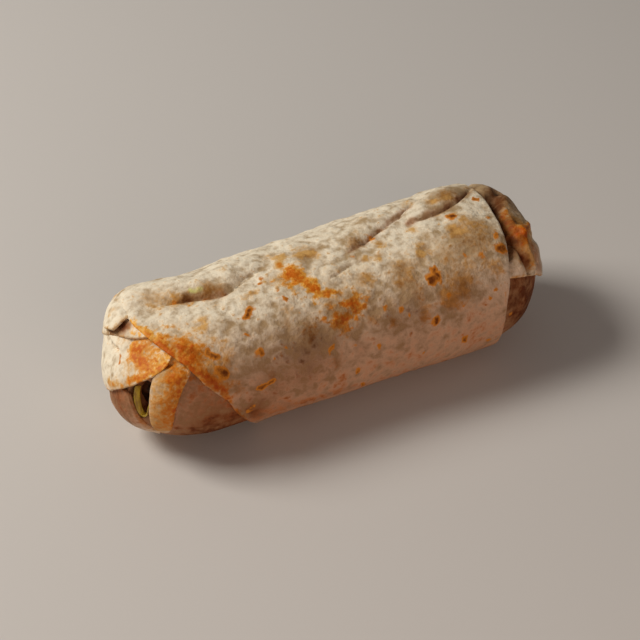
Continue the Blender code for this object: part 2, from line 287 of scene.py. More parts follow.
def along_path(points, path):
    """How far each point is from a path, how far along the path that is, from where, and its heading."""
    lengths = np.linalg.norm(np.diff(path, axis=0), axis=1)
    travelled = np.concatenate(([0], np.cumsum(lengths))) / lengths.sum()
    best, share = np.full(len(points), np.inf), np.zeros(len(points))
    nearest, heading = np.zeros((len(points), 3)), np.zeros((len(points), 3))
    for index, (start, end) in enumerate(zip(path[:-1], path[1:])):
        step = end - start
        part = np.clip((points - start) @ step / (step @ step), 0, 1)
        spot = start + part[:, None] * step
        distance = np.linalg.norm(points - spot, axis=1)
        closer = distance < best
        best[closer] = distance[closer]
        share[closer] = mix(travelled[index], travelled[index + 1], part[closer])
        nearest[closer] = spot[closer]
        heading[closer] = step / lengths[index]
    return best, share, nearest, heading


def skin_path(places):
    """A softened path on the skin through places (along in mm, angle)."""
    places = soften(np.array(places, float))
    return skin_point(places[:, 0] * MM, places[:, 1])


def arc(distance, reach):
    """A quarter of a circle: 0 at no distance, rising steeply at first, and 1 from its reach on."""
    return np.sqrt(1 - (1 - np.clip(distance / reach, 0, 1)) ** 2)


def crease(points, normals, places, depth, lap, behind, before):
    """The height that a crease gives each point."""
    distance, share, nearest, heading = along_path(points, skin_path(places))
    front = np.cross(heading, normals)
    distance = np.copysign(distance, np.einsum("ij,ij->i", points - nearest, front)) / MM
    fade = ease(share * 3.5) * ease((1 - share) * 3.5)
    rise = arc(-distance, behind)
    back_side = lap * rise * bell(np.maximum(-distance - behind, 0), 9) - depth * (1 - rise)
    front_side = -depth * (1 - arc(distance, before))
    return fade * np.where(distance < 0, back_side, front_side) * MM


def creased(points, normals):
    """The height of all creases and mounds together."""
    height = sum(crease(points, normals, *about) for about in CREASES)
    for along, angle, radius, rise in MOUNDS:
        middle = skin_point(along * MM, np.float64(angle))
        height = height + rise * MM * bell(np.linalg.norm(points - middle, axis=1), radius * MM)
    return height


def furrowed(back, up, furrows):
    """The height in mm that furrows and ridges give points on the chart of an end."""
    places = np.stack((back, up, 0 * back), axis=1)
    height = np.zeros(len(back))
    for path, rise, width in furrows:
        path = np.pad(soften(np.array(path, float)), ((0, 0), (0, 1)))
        height += rise * bell(along_path(places, path)[0], width)
    return height


def raised(along, angle, height, floor=0.0):
    """Points at heights over the skin, never below the ground that the roll rests on."""
    height = height + shoulder(along, angle)
    point = skin_point(along, angle) + skin_normal(along, angle) * height[:, None]
    point[:, 2] = np.maximum(point[:, 2], floor)
    return point


def on_end(side, back, up):
    """The place on the skin of a point on the chart of an end."""
    return side * (TIP_ALONG - np.hypot(back, up)), np.degrees(np.arctan2(up, back))


def chart(along, angle):
    """The point on the chart of an end at a place on the skin."""
    radius = TIP_ALONG - np.abs(along)
    return radius * np.cos(np.radians(angle)), radius * np.sin(np.radians(angle))


# What a mark can be: a charred spot, a stain of grease, light toasting, damp from the filling together with
# painted shade, painted warm shade, and a green smear of lettuce.
KINDS = ("Char", "Grease", "Toast", "Damp", "Soak", "Green")


def spot(along, angle, radius, strength=1.0, to=None):
    """A mark on the skin: a place (along in mm, angle), a radius in mm, and an end if it is a streak."""
    return (along, angle), to or (along, angle + 0.1), radius, strength


def end_spot(side, back, up, radius, strength=1.0, to=None):
    """A mark on the chart of an end, in mm."""
    along, angle = on_end(side, back * MM, up * MM)
    if to:
        far_along, far_angle = on_end(side, to[0] * MM, to[1] * MM)
        to = (far_along / MM, far_angle)
    return spot(along / MM, angle, radius, strength, to)


def spots(*marks):
    return [spot(*mark) for mark in marks]


def end_spots(side, *marks):
    return [end_spot(side, *mark) for mark in marks]


def frayed(points):
    """Points shifted about a little, which gives the marks measured from them ragged outlines."""
    shift = np.stack([field(points, FRAY_SIZE, 3, seed) for seed in (61, 62, 63)], axis=1)
    return points + FRAY_REACH * shift


def marked(points, marks):
    """How strongly each point is marked: 1 in the middle of a mark, fading past its radius, and marks that
    meet run together."""
    untouched = np.ones(len(points))
    for start, end, radius, strength in marks:
        path = skin_point(np.array((start[0], end[0])) * MM, np.array((start[1], end[1])))
        there = strength * bell(along_path(points, path)[0], radius * MM)
        untouched *= 1 - np.minimum(there, 0.97)
    return (1 - untouched) * max((strength for *_, strength in marks), default=1.0) ** 0.5


def soaked(angle):
    """How much warm shade is painted on the tortilla: most on the lower front, which the key light misses."""
    return 0.75 * swing(angle % 360, 105, 190) * (1 - swing(angle % 360, 260, 350))


def scattered(count, seed, smallest, largest, first=220, last=400, strength=1.0):
    """Marks strewn over the roll between two angles: unless told otherwise, where it faces back and down."""
    dice = np.random.default_rng(seed)
    return [
        spot(dice.uniform(-80, 74), dice.uniform(first, last), dice.uniform(smallest, largest),
             strength * dice.uniform(0.6, 1))
        for _ in range(count)
    ]


# The marks on each piece. Each has a place, a radius in mm, a strength, and the far end of
# a streak. Spots have their place on the skin, and end spots have it on the chart of an end.
OUTER_CHAR = spots(
    (-43, 116, 1.8, 1, (-41, 111)), (-62, 132, 1.9, 1.1, (-61, 137)), (-60, 151, 2.1, 1.25),
    (-61, 147, 1.3, 0.7), (-43, 144, 2.0, 1.1), (-46, 129, 1.1, 0.7), (-35, 119, 0.9, 0.6),
    (-31, 94, 1.5, 0.9), (-29, 90, 1.3, 0.5), (-33, 134, 0.9, 0.5), (-26, 111, 1.4, 0.8),
    (-32, 148, 1.0, 0.65), (-38, 154, 0.9, 0.5), (-14, 161, 1.1, 0.8, (-12, 159)), (-3, 184, 1.4, 0.95),
    (-46, 174, 1.3, 1.1, (-40, 171)), (-51, 190, 1.1, 0.9, (-48, 186)), (0, 143, 1.3, 0.9),
    (7, 131, 1.5, 0.6), (13, 142, 1.2, 0.8), (19, 148, 1.5, 0.9), (22, 154, 1.0, 0.5), (33, 164, 2.1, 1.2),
    (10, 96, 1.2, 0.85), (23, 88, 1.4, 0.7), (38, 126, 1.6, 1.2), (36, 133, 2.2, 1.3, (39, 133)),
    (58, 92, 1.9, 1), (73, 84, 1.5, 0.9), (71, 100, 1.5, 0.75), (69, 115, 1.6, 0.95), (68, 126, 2.5, 1.2),
    (54, 123, 1.3, 0.65), (60, 128, 1.3, 0.75), (62, 156, 1.2, 0.8), (58, 161, 1.1, 0.85),
    (41, 149, 1.7, 0.65), (47, 160, 0.9, 0.7, (47, 163)), (48, 187, 1.9, 1.05), (60, 199, 1.6, 0.8),
    (28, 185, 1.2, 0.8), (16, 183, 0.9, 0.6), (7, 171, 1.2, 0.85), (1, 200, 0.9, 0.8, (2, 207)),
    (20, 216, 1.0, 0.8), (-19, 211, 1.0, 0.7), (-19, 86, 1.7, 0.7), (-13, 136, 1.4, 0.65),
)
OUTER_GREASE = spots(
    (-83, 86, 1.5, 0.75, (-80, 102)), (-80, 103, 2.4, 0.9, (-76, 117)), (-74, 115, 5.0, 0.5, (-69, 128)),
    (-77, 118, 2.8, 0.8, (-69, 142)), (-69, 142, 2.4, 0.8, (-65, 150)), (-65, 150, 1.9, 0.8, (-61, 162)),
    (-71, 120, 2.0, 0.8, (-67, 128)), (-61, 163, 1.9, 0.7, (-55, 190)), (-54, 194, 1.5, 0.6, (-46, 230)),
    (-67, 122, 5.5, 0.35), (-64, 130, 3.5, 0.3), (-75, 100, 4.0, 0.3), (-17, 93, 3.0, 0.95, (-15, 97)),
    (-15, 102, 2.6, 0.9, (-13, 108)), (-13, 96, 3.2, 0.6), (-20, 97, 3.0, 0.6), (-26, 95, 2.0, 0.45),
    (-10, 105, 1.9, 1.1), (-13, 109, 2.0, 0.8, (-10, 111)), (-19, 103, 2.8, 0.65), (-21, 107, 2.0, 0.5),
    (-18, 88, 2.0, 0.4), (-13, 117, 1.2, 0.8, (-7, 117)), (-8, 117, 1.7, 0.9, (-5, 117)),
    (-15, 120, 1.1, 0.6, (-16, 122)), (-3, 118, 1.2, 0.5), (-3, 128, 2.2, 0.8, (1, 129)),
    (1, 129, 2.4, 0.85, (3, 126)), (1, 132, 2.0, 0.85, (2, 137)), (0, 138, 1.9, 0.8, (-5, 140)),
    (-8, 143, 2.9, 0.95), (-6, 149, 2.3, 0.7), (-8, 134, 2.0, 0.7), (-9, 127, 2.0, 0.5),
    (5, 134, 1.6, 0.65), (-20, 141, 2.4, 0.4), (-64, 86, 2.0, 0.5), (-61, 90, 1.5, 0.5, (-54, 90)),
    (53, 88, 1.3, 0.55, (55, 88)), (51, 94, 1.2, 0.5), (22, 88, 1.6, 0.5), (1, 97, 2.0, 0.4),
    (-80, 45, 1.2, 0.6, (-77, 40)),
)
OUTER_TOAST = spots(
    (-18, 98, 8, 0.45), (-19, 86, 2.4, 1), (-22, 95, 4, 0.5), (-3, 132, 8, 0.45), (-9, 127, 2.5, 0.7),
    (-8, 84, 4.5, 0.8), (-4, 86, 3, 0.8), (-18, 80, 3, 0.6), (-15, 80, 2, 0.6), (-21, 74, 3, 0.4),
    (-36, 98, 2, 0.8), (-39, 100, 2.6, 0.55), (-60, 107, 3.2, 0.6), (-61, 112, 2.5, 0.5), (-51, 85, 3, 0.6),
    (-64, 86, 2.6, 0.8), (-71, 80, 5, 0.45, (-66, 84)), (-26, 120, 2.6, 0.5), (-29, 130, 2.2, 0.45),
    (-20, 141, 4, 0.6), (24, 93, 2.8, 0.9), (20, 102, 2, 0.75), (15, 100, 2.5, 0.75), (40, 91, 2.2, 0.75),
    (37, 111, 2.5, 0.9), (39, 105, 3.2, 0.55), (26, 115, 5, 0.6), (26, 127, 5, 0.5), (22, 128, 1.7, 0.7),
    (61, 96, 2.3, 0.75), (56, 102, 3.4, 0.85), (54, 106, 3, 0.8), (63, 102, 3, 0.5), (55, 78, 3, 0.85),
    (62, 78, 3.4, 0.85), (47, 69, 3.5, 0.5), (61, 135, 2.2, 0.55), (64, 140, 3.2, 0.65),
    (50, 140, 3.4, 0.4), (48, 149, 2.4, 0.7), (42, 153, 3.2, 0.8), (39, 145, 2.2, 0.7), (29, 154, 3, 0.6),
    (28, 160, 2, 0.5), (29, 140, 3.2, 0.4), (15, 156, 2.4, 0.7), (7, 147, 2.4, 0.45), (7, 131, 2, 0.6),
    (10, 117, 3.6, 0.6), (32, 76, 1.7, 0.65), (25, 69, 1.7, 0.5), (14, 89, 4, 0.4), (-63, 156, 2.4, 0.7),
    (-60, 162, 2.2, 0.5), (-55, 167, 3, 0.5), (-56, 128, 2, 0.4), (-72, 118, 9, 0.7, (-62, 150)),
    (61, 76, 5, 0.3, (76, 68)), (44, 146, 10, 0.5), (60, 116, 10, 0.5), (-2, 120, 14, 0.2),
    (-62, 87, 3, 0.6, (-48, 89)), (66, 108, 5, 0.4), (45, 118, 6, 0.35),
)
# Real damp patches, and painted shade along the left crease, on the lower front and at the lower left corner.
OUTER_DAMP = spots(
    (15, 86, 5, 0.5), (-9, 91, 3.2, 0.5), (-50, 121, 5, 0.4), (-53, 115, 4, 0.3), (60, 88, 4, 0.5),
    (14, 90, 4, 0.4), (-36, 124, 10, 0.2), (-44, 152, 13, 0.35), (10, 114, 12, 0.25), (-18, 150, 16, 0.4),
    (20, 150, 16, 0.3), (-49, 190, 7, 0.8), (50, 142, 14, 0.35), (-71, 81, 5, 0.35), (42, 112, 14, 0.3),
    (28, 125, 8, 0.3), (62, 112, 12, 0.5), (60, 75, 6, 0.5, (76, 68)), (-44, 168, 13, 0.35, (-26, 172)),
    (-30, 146, 9, 0.3, (22, 148)), (0, 84, 8, 0.3), (-60, 86, 2.5, 0.7, (-44, 89)), (20, 76, 9, 0.2),
    (-26, 84, 3, 0.3, (-36, 86)),
)
# Painted shade along the creases, laid into both dark masks of the outer layer.
CREASE_LINES = spots(
    (40, 87, 1.5, 0.6, (60, 86)), (60, 86, 1.5, 0.6, (72, 75)), (10, 92, 1.2, 0.5, (28, 85)),
    (28, 85, 1.2, 0.5, (46, 74)), (-62, 87, 1.5, 0.5, (-46, 91)),
)
# Painted warm shade at the lower left corner and along the lower front.
OUTER_SOAK = spots(
    (-49, 190, 7, 0.97, (-44, 205)), (-36, 200, 7, 0.9, (-4, 203)), (-38, 180, 12, 0.8), (0, 172, 12, 0.75),
)
OUTER_GREEN = spots((-57, 84, 1.3, 1, (-54, 85)))
INNER_GREASE = [
    end_spot(LEFT, -43, 24, 3, 0.6, (-38, 26)), end_spot(RIGHT, -26, 33, 5, 0.7, (-7, 37)),
    spot(-60, 176, 2.2, 0.55, (-50, 200)), spot(-66, 158, 3, 0.4), end_spot(RIGHT, -40, 10, 4, 0.4),
]
# Painted shade on the inner roll's lower ends and underside.
INNER_DAMP = [
    spot(-70, 160, 26, 0.35, (-60, 200)), spot(-64, 212, 14, 0.9, (-50, 235)),
    end_spot(LEFT, -12, -8, 14, 0.5), end_spot(RIGHT, -42, 8, 12, 0.8), end_spot(RIGHT, -34, -6, 16, 0.97),
]
# Painted warm shade on the inner roll's ends and underside.
INNER_SOAK = [
    end_spot(LEFT, -12, 2, 14, 0.5), end_spot(RIGHT, -38, 6, 20, 0.6), spot(-66, 168, 16, 0.4, (-56, 205)),
    spot(-60, 220, 20, 0.5),
]
ENVELOPE_GREASE = end_spots(
    LEFT, (-4, 26, 2.6, 0.95, (-8, 25)), (-8, 25, 2.6, 0.95, (-12, 24)), (-11, 28, 4.4, 0.5, (-23, 28)),
    (-17, 22, 3.4, 0.5, (-23, 25)), (-14, 13, 1.7, 0.8, (-26, 26)), (-6, 30, 2.6, 0.6, (-14, 33)),
    (-25, 27, 3.4, 0.65), (-21, 32, 3.2, 0.5), (-1, 1.5, 1.0, 0.5, (-15, 12)),
)
ENVELOPE_TOAST = end_spots(LEFT, (-12, 24, 9, 0.7), (-1, 2, 2.4, 0.8, (-16, 12)), (2, 31, 5, 0.5, (-8, 34)))
ENVELOPE_CHAR = end_spots(
    LEFT, (-1.8, 18.5, 0.9, 0.75, (-3.8, 16)), (-1, 7, 0.9, 0.8, (-3.4, 5.4)), (-16.5, 17, 0.8, 1),
    (-16.5, 23, 0.8, 0.6), (-9, 25.5, 1.6, 0.7),
)
# Painted shade on the lip, under the envelope.
LIP_DAMP = end_spots(LEFT, (-8, -2, 14, 0.6))
LIP_SOAK = end_spots(LEFT, (-8, 0, 18, 0.97))
PLEAT_GREASE = end_spots(
    LEFT, (-32, 21, 3.4, 0.8, (-37, 21)), (-36, 15, 3.4, 0.8, (-38, 7)), (-37, 8, 3.2, 0.8, (-36, -8)),
    (-28, 28, 5, 0.5, (-34, 26)), (-31, 8, 3.5, 0.35, (-30, -6)),
)
PLEAT_TOAST = end_spots(LEFT, (-29, 26, 8, 0.9, (-30, -6)), (-26, 30, 5, 0.6))
PLEAT_CHAR = end_spots(LEFT, (-29.7, 13, 0.8, 0.75, (-30.4, 9.4)), (-32, 6, 0.7, 0.9), (-28, 11, 0.9, 0.5))
CURL_TOAST = end_spots(LEFT, (13, 26, 1.6, 0.6, (11, 30)), (30, 22, 1.8, 0.4))
HOLLOW_GREASE = end_spots(LEFT, (1, 31, 1.4, 0.6, (-4, 33)), (5, 28, 2.0, 0.5))
# Painted shade in the hollow under the curl.
HOLLOW_SOAK = end_spots(LEFT, (3, 30, 3, 0.95, (8, 25)))
HOLLOW_DAMP = end_spots(LEFT, (4, 29, 3.4, 0.97, (8, 24)))
FOLD_GREASE = end_spots(
    RIGHT, (-4, 34, 1.4, 0.5, (-6, 34)), (-13, 35, 1.7, 0.6, (-16, 32)), (-17, 31, 2.6, 0.95, (-20, 28.5)),
    (-6.5, 19, 1.6, 0.8, (-12, 25)), (-12, 26, 1.8, 0.8, (-18, 29)), (-4, 34, 2.0, 0.8), (-9, 34, 1.8, 0.7),
    (-31, 17, 1.4, 0.7), (-24, 29, 2.0, 0.5),
)
FOLD_TOAST = end_spots(
    RIGHT, (-13, 35, 3, 1.0, (-19, 28)), (-14, 29, 9, 0.9), (-28, 22, 6, 0.6), (2, 32, 7, 0.5),
    (-10, 36, 5, 0.6), (10, 14, 7, 0.6), (-4, 2, 6, 0.5),
)
# Painted warm shade in the groove by the outer layer's edge and over the right fold's lower part.
FOLD_SOAK = end_spots(
    RIGHT, (4, 36, 3.2, 0.9, (-16, 38.5)), (-16, 38.5, 3.2, 0.95, (-30, 34)),
    (-23, 31.5, 1.8, 0.8, (-30, 25)), (-30, 25, 1.6, 0.9, (-33.5, 17)), (11, 25, 3, 0.6, (2, 34)),
    (-24, 10, 6, 0.7, (-22, 19)), (-38, 24, 5, 0.5), (4, 8, 14, 0.4),
)
# Painted shade in the same groove and over the upper part of the right fold.
FOLD_DAMP = end_spots(
    RIGHT, (4, 36, 3.4, 0.97, (-16, 38.5)), (-16, 38.5, 3.4, 0.97, (-30, 34)),
    (-20, 33, 2.0, 0.95, (-30, 25)), (-30, 25, 1.8, 0.95, (-33.5, 17)), (10, 26, 3, 0.95, (2, 34)),
    (3, 25, 10, 0.6), (-9, 32, 5, 0.8), (-26, 33, 5, 0.7), (18, 34, 7, 0.9, (10, 36)),
)


def add_node(tree, kind, inputs=None, **settings):
    """Adds a shader node, sets its properties, and gives its sockets values or links."""
    made = tree.nodes.new("ShaderNode" + kind)
    for name, value in settings.items():
        setattr(made, name, value)
    for socket, value in (inputs or {}).items():
        if isinstance(value, bpy.types.NodeSocket):
            tree.links.new(value, made.inputs[socket])
        else:
            made.inputs[socket].default_value = value
    return made


def add_noise(tree, place, size, detail=3.0, roughness=0.55, stretch=None):
    """Noise with features of a size in metres."""
    if stretch:
        place = add_node(tree, "Mapping", {"Vector": place, "Scale": stretch}).outputs[0]
    return add_node(tree, "TexNoise", {"Vector": place, "Scale": 1 / size, "Detail": detail,
                                       "Roughness": roughness}).outputs["Fac"]


def add_threshold(tree, value, low, high):
    """0 below low, 1 above high, and a smooth rise between them."""
    inputs = {"Value": value, "From Min": low, "From Max": high}
    return add_node(tree, "MapRange", inputs, interpolation_type="SMOOTHSTEP").outputs["Result"]


def add_blend(tree, share, first, second, mode="MIX"):
    inputs = {0: share, 6: first, 7: second}
    return add_node(tree, "Mix", inputs, data_type="RGBA", blend_type=mode).outputs[2]


def add_layer(tree, under, over, value, low, high, mode="MIX"):
    """One colour laid over another, from where a value passes low to where it passes high."""
    return add_blend(tree, add_threshold(tree, value, low, high), under, over, mode)


def add_sum(tree, *terms):
    """A weighted sum of values, given as pairs of a value and its weight."""
    total = 0.0
    for value, weight in terms:
        total = add_node(tree, "Math", {0: value, 1: weight, 2: total}, operation="MULTIPLY_ADD").outputs[0]
    return total


def griddled_group(colors):
    """The look of a griddled tortilla, from how charred, greasy, toasted and damp it is and how much shade is
    painted on it.
    """
    group = bpy.data.node_groups.new("Griddled tortilla", "ShaderNodeTree")
    for name in KINDS:
        group.interface.new_socket(name, in_out="INPUT", socket_type="NodeSocketFloat")
    group.interface.new_socket("Color", in_out="OUTPUT", socket_type="NodeSocketColor")
    for name in ("Roughness", "Height"):
        group.interface.new_socket(name, in_out="OUTPUT", socket_type="NodeSocketFloat")
    source = group.nodes.new("NodeGroupInput").outputs
    result = group.nodes.new("NodeGroupOutput").inputs
    place = add_node(group, "TexCoord").outputs["Object"]

    cloud = add_noise(group, place, 18 * MM, 3)
    patch = add_noise(group, place, 7 * MM, 4, 0.6)
    mottle = add_noise(group, place, 3.4 * MM, 2, 0.5)
    flecks = add_noise(group, place, 1.6 * MM, 3, 0.6)
    grain = add_noise(group, place, 0.8 * MM, 1, 0.5)

    paleness = add_sum(group, (patch, 1.3), (mottle, 1.3), (grain, 0.15), (source["Damp"], -0.75))
    color = add_layer(group, colors.dough, colors.pale, paleness, 0.8, 1.55)
    # Darker colour of damp tortilla, which also serves as painted shade in creases, hollows and the lower
    # front.
    damp = add_sum(group, (cloud, 0.8), (mottle, 1.3), (patch, 0.5), (source["Damp"], 0.9))
    color = add_layer(group, color, colors.damp, damp, 1.66, 2.3)
    toast = add_sum(group, (patch, 0.8), (mottle, 1.2), (flecks, 1.2), (source["Toast"], 1.25))
    color = add_layer(group, color, colors.toast, toast, 1.65, 2.6, "MULTIPLY")
    pores = add_sum(group, (flecks, 1.0), (mottle, 0.6), (source["Damp"], 0.05))
    color = add_layer(group, color, colors.pore, pores, 1.0, 1.25)
    # Painted warm shade, multiplied in a little unevenly where its mask is set.
    uneven = add_sum(group, (mottle, 0.8), (patch, 1.0), (1.0, 0.1))
    soak = add_node(group, "Math", {0: source["Soak"], 1: uneven}, operation="MULTIPLY", use_clamp=True)
    color = add_blend(group, soak.outputs[0], color, colors.soak, "MULTIPLY")
    grease = add_sum(group, (source["Grease"], 1.9), (mottle, 2.0), (flecks, 2.2))
    color = add_layer(group, color, colors.grease, grease, 2.45, 3.4, "MULTIPLY")
    color = add_layer(group, color, colors.deep_grease, grease, 3.25, 4.1, "MULTIPLY")
    green = add_sum(group, (source["Green"], 1.0), (mottle, 1.0))
    color = add_layer(group, color, colors.green, green, 0.7, 1.9)
    char = add_sum(group, (source["Char"], 1.0), (mottle, 0.8), (flecks, 0.7))
    color = add_layer(group, color, colors.halo, char, 0.98, 1.38)
    color = add_layer(group, color, colors.char, char, 1.4, 2.0)
    group.links.new(color, result["Color"])

    rough = add_node(group, "MapRange", {"Value": grease, "From Min": 2.6, "From Max": 3.5,
                                         "To Min": 0.78, "To Max": 0.5}).outputs["Result"]
    group.links.new(rough, result["Roughness"])
    height = add_sum(group, (mottle, 0.7), (flecks, 0.25), (grain, 0.1), (patch, 0.9))
    group.links.new(height, result["Height"])
    return group


def new_material(name):
    material = bpy.data.materials.new(name)
    material.use_nodes = True
    return material, material.node_tree, material.node_tree.nodes["Principled BSDF"]


def tortilla_material(colors):
    """One material for every piece of tortilla, whose attributes say where it is marked and where shade is
    painted.
    """
    if "Tortilla" in bpy.data.materials:
        return bpy.data.materials["Tortilla"]
    material, tree, shader = new_material("Tortilla")
    look = tree.nodes.new("ShaderNodeGroup")
    look.node_tree = griddled_group(colors)
    for name in KINDS:
        mark = add_node(tree, "Attribute", attribute_name=name.lower())
        tree.links.new(mark.outputs["Fac"], look.inputs[name])
    tree.links.new(look.outputs["Color"], shader.inputs["Base Color"])
    tree.links.new(look.outputs["Roughness"], shader.inputs["Roughness"])
    bump = add_node(tree, "Bump", {"Height": look.outputs["Height"], "Distance": 0.8 * MM, "Strength": 1.0})
    tree.links.new(bump.outputs["Normal"], shader.inputs["Normal"])
    shader.inputs["Specular IOR Level"].default_value = 0.15
    return material


def filling_material(colors):
    """Dark, saucy filling."""
    material, tree, shader = new_material("Filling")
    place = add_node(tree, "TexCoord").outputs["Object"]
    chunks = add_noise(tree, place, 3 * MM, 3)
    color = add_layer(tree, colors.sauce, colors.meat, chunks, 0.42, 0.62)
    tree.links.new(color, shader.inputs["Base Color"])
    bump = add_node(tree, "Bump", {"Height": chunks, "Distance": 0.8 * MM, "Strength": 0.8})
    tree.links.new(bump.outputs["Normal"], shader.inputs["Normal"])
    shader.inputs["Roughness"].default_value = 0.45
    return material


def leaf_material(colors):
    """Cooked pepper: yellow-green with darker veins."""
    material, tree, shader = new_material("Pepper")
    place = add_node(tree, "TexCoord").outputs["Object"]
    veins = add_noise(tree, place, 1.6 * MM, 3, 0.6, (1, 1, 0.3))
    color = add_layer(tree, colors.pepper_dark, colors.pepper, veins, 0.35, 0.65)
    tree.links.new(color, shader.inputs["Base Color"])
    bump = add_node(tree, "Bump", {"Height": veins, "Distance": 0.2 * MM, "Strength": 0.6})
    tree.links.new(bump.outputs["Normal"], shader.inputs["Normal"])
    shader.inputs["Roughness"].default_value = 0.35
    return material


def coordinates(mesh):
    return np.array([vert.co[:] for vert in mesh.verts])


def move_to(mesh, points):
    for vert, point in zip(mesh.verts, points.tolist()):
        vert.co = point


def make_piece(name, mesh, material, node, slot, **marks):
    """An object of a mesh that stands for a CAD node, with its marks as attributes."""
    bmesh.ops.recalc_face_normals(mesh, faces=mesh.faces)
    data = bpy.data.meshes.new(name)
    mesh.to_mesh(data)
    mesh.free()
    data.shade_smooth()
    data.materials.append(material)
    for mark, values in marks.items():
        data.attributes.new(mark, "FLOAT", "POINT").data.foreach_set("value", values.astype(np.float32))
    piece = bpy.data.objects.new(name, data)
    bpy.context.scene.collection.objects.link(piece)
    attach(piece, "root")
    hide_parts(node)
    return piece


def make_tortilla(name, mesh, colors, **marks):
    """A piece of tortilla, with its marks."""
    return make_piece(name, mesh, tortilla_material(colors), "tortilla", "tortilla", **marks)


def layer_profile():
    """For each row round the cut of the outer layer: its share of the width, how far it sticks out past
    that, and its level from the inner face (0) to the outer one (1)."""
    turns = np.pi * np.arange(1, EDGE_ROWS + 1) / (EDGE_ROWS + 1)
    inward = (1 + np.cos(np.pi * np.arange(BACK_ROWS) / (BACK_ROWS - 1))) / 2
    face, flat = np.linspace(0, 1, FACE_ROWS), np.zeros(BACK_ROWS)
    share = np.concatenate((face, np.ones(EDGE_ROWS), inward, np.zeros(EDGE_ROWS)))
    reach = np.concatenate((np.zeros(FACE_ROWS), np.sin(turns), flat, -np.sin(turns)))
    level = np.concatenate((np.ones(FACE_ROWS), (1 + np.cos(turns)) / 2, flat, (1 - np.cos(turns)) / 2))
    return share, reach, level


def outer_ring(rows):
    """A ring spun from a round cut, with the row round the cut and the share of a turn of each vertex."""
    ring_radius = 3.0
    mesh = bmesh.new()
    cut = bmesh.ops.create_circle(mesh, segments=rows, radius=1.0)
    bmesh.ops.rotate(mesh, verts=cut["verts"], matrix=Matrix.Rotation(math.pi / 2, 3, "X"))
    bmesh.ops.translate(mesh, verts=cut["verts"], vec=(ring_radius, 0, 0))
    bmesh.ops.spin(mesh, geom=mesh.edges[:], axis=(0, 0, 1), angle=2 * math.pi, steps=OUTER_COLUMNS,
                   use_merge=True)
    places = coordinates(mesh)
    radius = np.hypot(places[:, 0], places[:, 1]) - ring_radius
    row = np.round((np.arctan2(places[:, 2], radius) / (2 * np.pi) - 0.25) * rows).astype(int) % rows
    return mesh, row, np.arctan2(places[:, 1], places[:, 0]) / (2 * np.pi) % 1.0


def outer_places(share, width_share, reach, half):
    """The outer layer's places on the skin, and how far they are from its left edge and from either one."""
    base_angle = SEAM_ANGLE + 360 * share - SEAM_CROWDING * np.sin(2 * np.pi * share)
    nearness = ((1 + np.cos(2 * np.pi * share)) / 2) ** 2
    angle = base_angle
    # The seam's angle and the places of the edges depend on each other, so they settle in a few rounds.
    for _ in range(4):
        left, right = outer_left(angle), outer_right(angle)
        along = mix(left + half, right - half, width_share) + half * reach
        angle = base_angle + (seam_angle(along) - SEAM_ANGLE) * nearness
    ragged = 0.35 * MM * field(skin_point(along, angle), 5 * MM, 2, 31)
    inset = np.minimum(along - left, right - along)
    along = along + ragged * bell(inset, 6 * MM)
    return along, angle, along - left, inset


def make_outer_layer(shape, colors):
    """The outer layer: a ring of tortilla spun from its cut and laid round the roll."""
    width_share, reach, level = layer_profile()
    mesh, row, share = outer_ring(len(level))
    level = level[row]
    along, angle, from_left, inset = outer_places(share, width_share[row], reach[row], shape.sheet / 2)
    skin, normals = skin_point(along, angle), skin_normal(along, angle)
    lift = shape.edge_lift * bell(inset, 4 * MM) * (0.6 + 0.4 * field(skin, 12 * MM, 1, 44))
    over_folds = swing(angle % 360, 40, 75) * (1 - swing(angle % 360, 150, 185))
    lift += 1.5 * MM * over_folds * bell(from_left, 8 * MM)
    height = creased(skin, normals) + roll_height(along, angle) + relief(skin, angle, 0) + lift
    worn = frayed(skin)
    char = marked(worn, OUTER_CHAR + scattered(26, 3, 0.9, 2.2) + scattered(26, 4, 0.5, 0.9, 70, 230, 0.6))
    height += CHAR_BLISTER * char + mix(LAYER_GAP, shape.sheet, level)
    # The inner face stays off the ground that the outer one may touch.
    floor = np.where(level > 0.9, 0.0, 0.3 * MM)
    move_to(mesh, raised(along, angle, height, floor))
    return make_tortilla(
        "outer_layer", mesh, colors,
        char=char,
        grease=marked(worn, OUTER_GREASE + scattered(7, 5, 2, 4)),
        toast=marked(worn, OUTER_TOAST + scattered(22, 7, 3, 7) + scattered(30, 8, 1.5, 3, 65, 235, 0.5)),
        # Painted shade: the damp and warm marks below also darken the creases, the lower front and the lower
        # left corner.
        damp=marked(worn, OUTER_DAMP + CREASE_LINES + scattered(12, 9, 8, 14, strength=0.4)),
        soak=np.maximum(soaked(angle), marked(worn, OUTER_SOAK + CREASE_LINES)),
        green=marked(worn, OUTER_GREEN),
    )


def sphere_places(mesh, around, rings):
    """The ring and the share of a turn of each vertex of a unit sphere."""
    places = coordinates(mesh)
    latitude = np.arcsin(np.clip(places[:, 2], -1, 1))
    ring = np.round((latitude / np.pi + 0.5) * rings)
    share = np.round(np.arctan2(places[:, 1], places[:, 0]) / (2 * np.pi) * around) % around / around
    return ring, share


def mouth(skin, back, up):
    """How open the skin of the left end is: 1 in the mouth, which has a slightly ragged rim."""
    tall = (up - MOUTH_UP) / (MOUTH_TALL / 2)
    wide = (back - MOUTH_BACK - MOUTH_LEAN * tall) / (MOUTH_WIDTH / 2)
    ragged = 0.08 * field(skin, 4 * MM, 2, 71)
    return ease((1.1 - np.hypot(wide, tall) + ragged) / 0.3)


